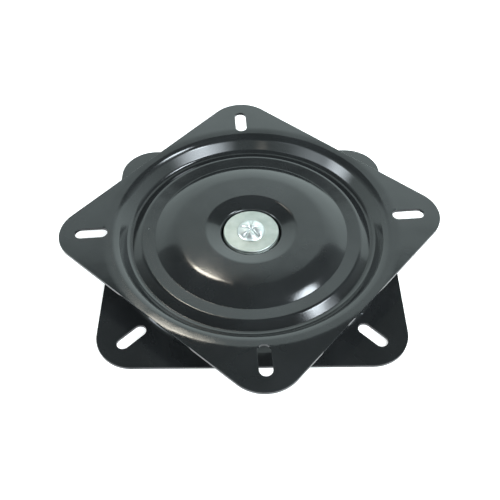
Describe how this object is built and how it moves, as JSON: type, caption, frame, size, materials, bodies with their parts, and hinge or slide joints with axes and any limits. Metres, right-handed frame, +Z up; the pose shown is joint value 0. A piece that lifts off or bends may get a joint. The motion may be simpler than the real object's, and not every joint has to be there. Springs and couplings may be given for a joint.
{
  "type": "square swivel plate with ball race",
  "caption": "Square steel swivel plate: two pressed plates turn on a caged ball race and a ball-borne hub washer held by a staked rivet, with slotted corners for bolts.",
  "frame": {"origin": "on the swivel axis, at the underside of the lower plate's flange", "axes": "+Z up along the swivel axis, from the lower plate to the upper; X and Y along the lower plate's sides; the upper plate is stored turned 48.9 degrees about +Z"},
  "size_m": [0.2616, 0.2616, 0.0245],
  "materials": {
    "black_paint": "gloss black",
    "zinc_plate": "bright zinc plate",
    "cage_steel": "plain pressed strip",
    "ball_steel": "polished"
  },
  "bodies": {
    "base": {"lower_plate": "black_paint", "center_rivet": "zinc_plate", "hub_washer": "zinc_plate", "hub_cup": "zinc_plate"},
    "turntable": {"upper_plate": "black_paint"},
    "ball_cage": {"ball_cage": "cage_steel"},
    "hub_balls": {"hub_ball_01": "ball_steel", "hub_ball_02": "ball_steel", "hub_ball_03": "ball_steel", "hub_ball_04": "ball_steel", "hub_ball_05": "ball_steel", "hub_ball_06": "ball_steel", "hub_ball_07": "ball_steel", "hub_ball_08": "ball_steel", "hub_ball_09": "ball_steel", "hub_ball_10": "ball_steel", "hub_ball_11": "ball_steel", "hub_ball_12": "ball_steel", "hub_ball_13": "ball_steel", "hub_ball_14": "ball_steel", "hub_ball_15": "ball_steel", "hub_ball_16": "ball_steel", "hub_ball_17": "ball_steel", "hub_ball_18": "ball_steel", "hub_ball_19": "ball_steel", "hub_ball_20": "ball_steel", "hub_ball_21": "ball_steel", "hub_ball_22": "ball_steel", "hub_ball_23": "ball_steel", "hub_ball_24": "ball_steel", "hub_ball_25": "ball_steel", "hub_ball_26": "ball_steel", "hub_ball_27": "ball_steel", "hub_ball_28": "ball_steel"},
    "race_ball_01": {"race_ball_01": "ball_steel"},
    "race_ball_02": {"race_ball_02": "ball_steel"},
    "race_ball_03": {"race_ball_03": "ball_steel"},
    "race_ball_04": {"race_ball_04": "ball_steel"},
    "race_ball_05": {"race_ball_05": "ball_steel"},
    "race_ball_06": {"race_ball_06": "ball_steel"},
    "race_ball_07": {"race_ball_07": "ball_steel"},
    "race_ball_08": {"race_ball_08": "ball_steel"},
    "race_ball_09": {"race_ball_09": "ball_steel"},
    "race_ball_10": {"race_ball_10": "ball_steel"},
    "race_ball_11": {"race_ball_11": "ball_steel"},
    "race_ball_12": {"race_ball_12": "ball_steel"},
    "race_ball_13": {"race_ball_13": "ball_steel"},
    "race_ball_14": {"race_ball_14": "ball_steel"},
    "race_ball_15": {"race_ball_15": "ball_steel"},
    "race_ball_16": {"race_ball_16": "ball_steel"},
    "race_ball_17": {"race_ball_17": "ball_steel"},
    "race_ball_18": {"race_ball_18": "ball_steel"},
    "race_ball_19": {"race_ball_19": "ball_steel"},
    "race_ball_20": {"race_ball_20": "ball_steel"},
    "race_ball_21": {"race_ball_21": "ball_steel"},
    "race_ball_22": {"race_ball_22": "ball_steel"},
    "race_ball_23": {"race_ball_23": "ball_steel"},
    "race_ball_24": {"race_ball_24": "ball_steel"}
  },
  "joints": [
    {"name": "swivel", "type": "hinge", "parent": "base", "child": "turntable", "pos_m": [0, 0, 0.0245], "axis": [0, 0, 1], "continuous": true},
    {"name": "cage_orbit", "type": "hinge", "parent": "base", "child": "ball_cage", "pos_m": [0, 0, 0.01225], "axis": [0, 0, 1], "continuous": true},
    {"name": "hub_orbit", "type": "hinge", "parent": "base", "child": "hub_balls", "pos_m": [0, 0, 0.01167], "axis": [0, 0, 1], "continuous": true},
    {"name": "roll_01", "type": "hinge", "parent": "ball_cage", "child": "race_ball_01", "pos_m": [0.0734, 0, 0.01225], "axis": [1, 0, 0], "continuous": true},
    {"name": "roll_02", "type": "hinge", "parent": "ball_cage", "child": "race_ball_02", "pos_m": [0.0709, 0.019, 0.01225], "axis": [0.9659, 0.2588, 0], "continuous": true},
    {"name": "roll_03", "type": "hinge", "parent": "ball_cage", "child": "race_ball_03", "pos_m": [0.06357, 0.0367, 0.01225], "axis": [0.866, 0.5, 0], "continuous": true},
    {"name": "roll_04", "type": "hinge", "parent": "ball_cage", "child": "race_ball_04", "pos_m": [0.0519, 0.0519, 0.01225], "axis": [0.7071, 0.7071, 0], "continuous": true},
    {"name": "roll_05", "type": "hinge", "parent": "ball_cage", "child": "race_ball_05", "pos_m": [0.0367, 0.06357, 0.01225], "axis": [0.5, 0.866, 0], "continuous": true},
    {"name": "roll_06", "type": "hinge", "parent": "ball_cage", "child": "race_ball_06", "pos_m": [0.019, 0.0709, 0.01225], "axis": [0.2588, 0.9659, 0], "continuous": true},
    {"name": "roll_07", "type": "hinge", "parent": "ball_cage", "child": "race_ball_07", "pos_m": [0, 0.0734, 0.01225], "axis": [0, 1, 0], "continuous": true},
    {"name": "roll_08", "type": "hinge", "parent": "ball_cage", "child": "race_ball_08", "pos_m": [-0.019, 0.0709, 0.01225], "axis": [-0.2588, 0.9659, 0], "continuous": true},
    {"name": "roll_09", "type": "hinge", "parent": "ball_cage", "child": "race_ball_09", "pos_m": [-0.0367, 0.06357, 0.01225], "axis": [-0.5, 0.866, 0], "continuous": true},
    {"name": "roll_10", "type": "hinge", "parent": "ball_cage", "child": "race_ball_10", "pos_m": [-0.0519, 0.0519, 0.01225], "axis": [-0.7071, 0.7071, 0], "continuous": true},
    {"name": "roll_11", "type": "hinge", "parent": "ball_cage", "child": "race_ball_11", "pos_m": [-0.06357, 0.0367, 0.01225], "axis": [-0.866, 0.5, 0], "continuous": true},
    {"name": "roll_12", "type": "hinge", "parent": "ball_cage", "child": "race_ball_12", "pos_m": [-0.0709, 0.019, 0.01225], "axis": [-0.9659, 0.2588, 0], "continuous": true},
    {"name": "roll_13", "type": "hinge", "parent": "ball_cage", "child": "race_ball_13", "pos_m": [-0.0734, 0, 0.01225], "axis": [-1, 0, 0], "continuous": true},
    {"name": "roll_14", "type": "hinge", "parent": "ball_cage", "child": "race_ball_14", "pos_m": [-0.0709, -0.019, 0.01225], "axis": [-0.9659, -0.2588, 0], "continuous": true},
    {"name": "roll_15", "type": "hinge", "parent": "ball_cage", "child": "race_ball_15", "pos_m": [-0.06357, -0.0367, 0.01225], "axis": [-0.866, -0.5, 0], "continuous": true},
    {"name": "roll_16", "type": "hinge", "parent": "ball_cage", "child": "race_ball_16", "pos_m": [-0.0519, -0.0519, 0.01225], "axis": [-0.7071, -0.7071, 0], "continuous": true},
    {"name": "roll_17", "type": "hinge", "parent": "ball_cage", "child": "race_ball_17", "pos_m": [-0.0367, -0.06357, 0.01225], "axis": [-0.5, -0.866, 0], "continuous": true},
    {"name": "roll_18", "type": "hinge", "parent": "ball_cage", "child": "race_ball_18", "pos_m": [-0.019, -0.0709, 0.01225], "axis": [-0.2588, -0.9659, 0], "continuous": true},
    {"name": "roll_19", "type": "hinge", "parent": "ball_cage", "child": "race_ball_19", "pos_m": [0, -0.0734, 0.01225], "axis": [0, -1, 0], "continuous": true},
    {"name": "roll_20", "type": "hinge", "parent": "ball_cage", "child": "race_ball_20", "pos_m": [0.019, -0.0709, 0.01225], "axis": [0.2588, -0.9659, 0], "continuous": true},
    {"name": "roll_21", "type": "hinge", "parent": "ball_cage", "child": "race_ball_21", "pos_m": [0.0367, -0.06357, 0.01225], "axis": [0.5, -0.866, 0], "continuous": true},
    {"name": "roll_22", "type": "hinge", "parent": "ball_cage", "child": "race_ball_22", "pos_m": [0.0519, -0.0519, 0.01225], "axis": [0.7071, -0.7071, 0], "continuous": true},
    {"name": "roll_23", "type": "hinge", "parent": "ball_cage", "child": "race_ball_23", "pos_m": [0.06357, -0.0367, 0.01225], "axis": [0.866, -0.5, 0], "continuous": true},
    {"name": "roll_24", "type": "hinge", "parent": "ball_cage", "child": "race_ball_24", "pos_m": [0.0709, -0.019, 0.01225], "axis": [0.9659, -0.2588, 0], "continuous": true}
  ],
  "couplings": [
    {"joint": "cage_orbit", "follows": "swivel", "ratio": 0.5},
    {"joint": "hub_orbit", "follows": "swivel", "ratio": 0.5},
    {"joint": "roll_01", "follows": "swivel", "ratio": -15.412},
    {"joint": "roll_02", "follows": "swivel", "ratio": -15.412},
    {"joint": "roll_03", "follows": "swivel", "ratio": -15.412},
    {"joint": "roll_04", "follows": "swivel", "ratio": -15.412},
    {"joint": "roll_05", "follows": "swivel", "ratio": -15.412},
    {"joint": "roll_06", "follows": "swivel", "ratio": -15.412},
    {"joint": "roll_07", "follows": "swivel", "ratio": -15.412},
    {"joint": "roll_08", "follows": "swivel", "ratio": -15.412},
    {"joint": "roll_09", "follows": "swivel", "ratio": -15.412},
    {"joint": "roll_10", "follows": "swivel", "ratio": -15.412},
    {"joint": "roll_11", "follows": "swivel", "ratio": -15.412},
    {"joint": "roll_12", "follows": "swivel", "ratio": -15.412},
    {"joint": "roll_13", "follows": "swivel", "ratio": -15.412},
    {"joint": "roll_14", "follows": "swivel", "ratio": -15.412},
    {"joint": "roll_15", "follows": "swivel", "ratio": -15.412},
    {"joint": "roll_16", "follows": "swivel", "ratio": -15.412},
    {"joint": "roll_17", "follows": "swivel", "ratio": -15.412},
    {"joint": "roll_18", "follows": "swivel", "ratio": -15.412},
    {"joint": "roll_19", "follows": "swivel", "ratio": -15.412},
    {"joint": "roll_20", "follows": "swivel", "ratio": -15.412},
    {"joint": "roll_21", "follows": "swivel", "ratio": -15.412},
    {"joint": "roll_22", "follows": "swivel", "ratio": -15.412},
    {"joint": "roll_23", "follows": "swivel", "ratio": -15.412},
    {"joint": "roll_24", "follows": "swivel", "ratio": -15.412}
  ]
}
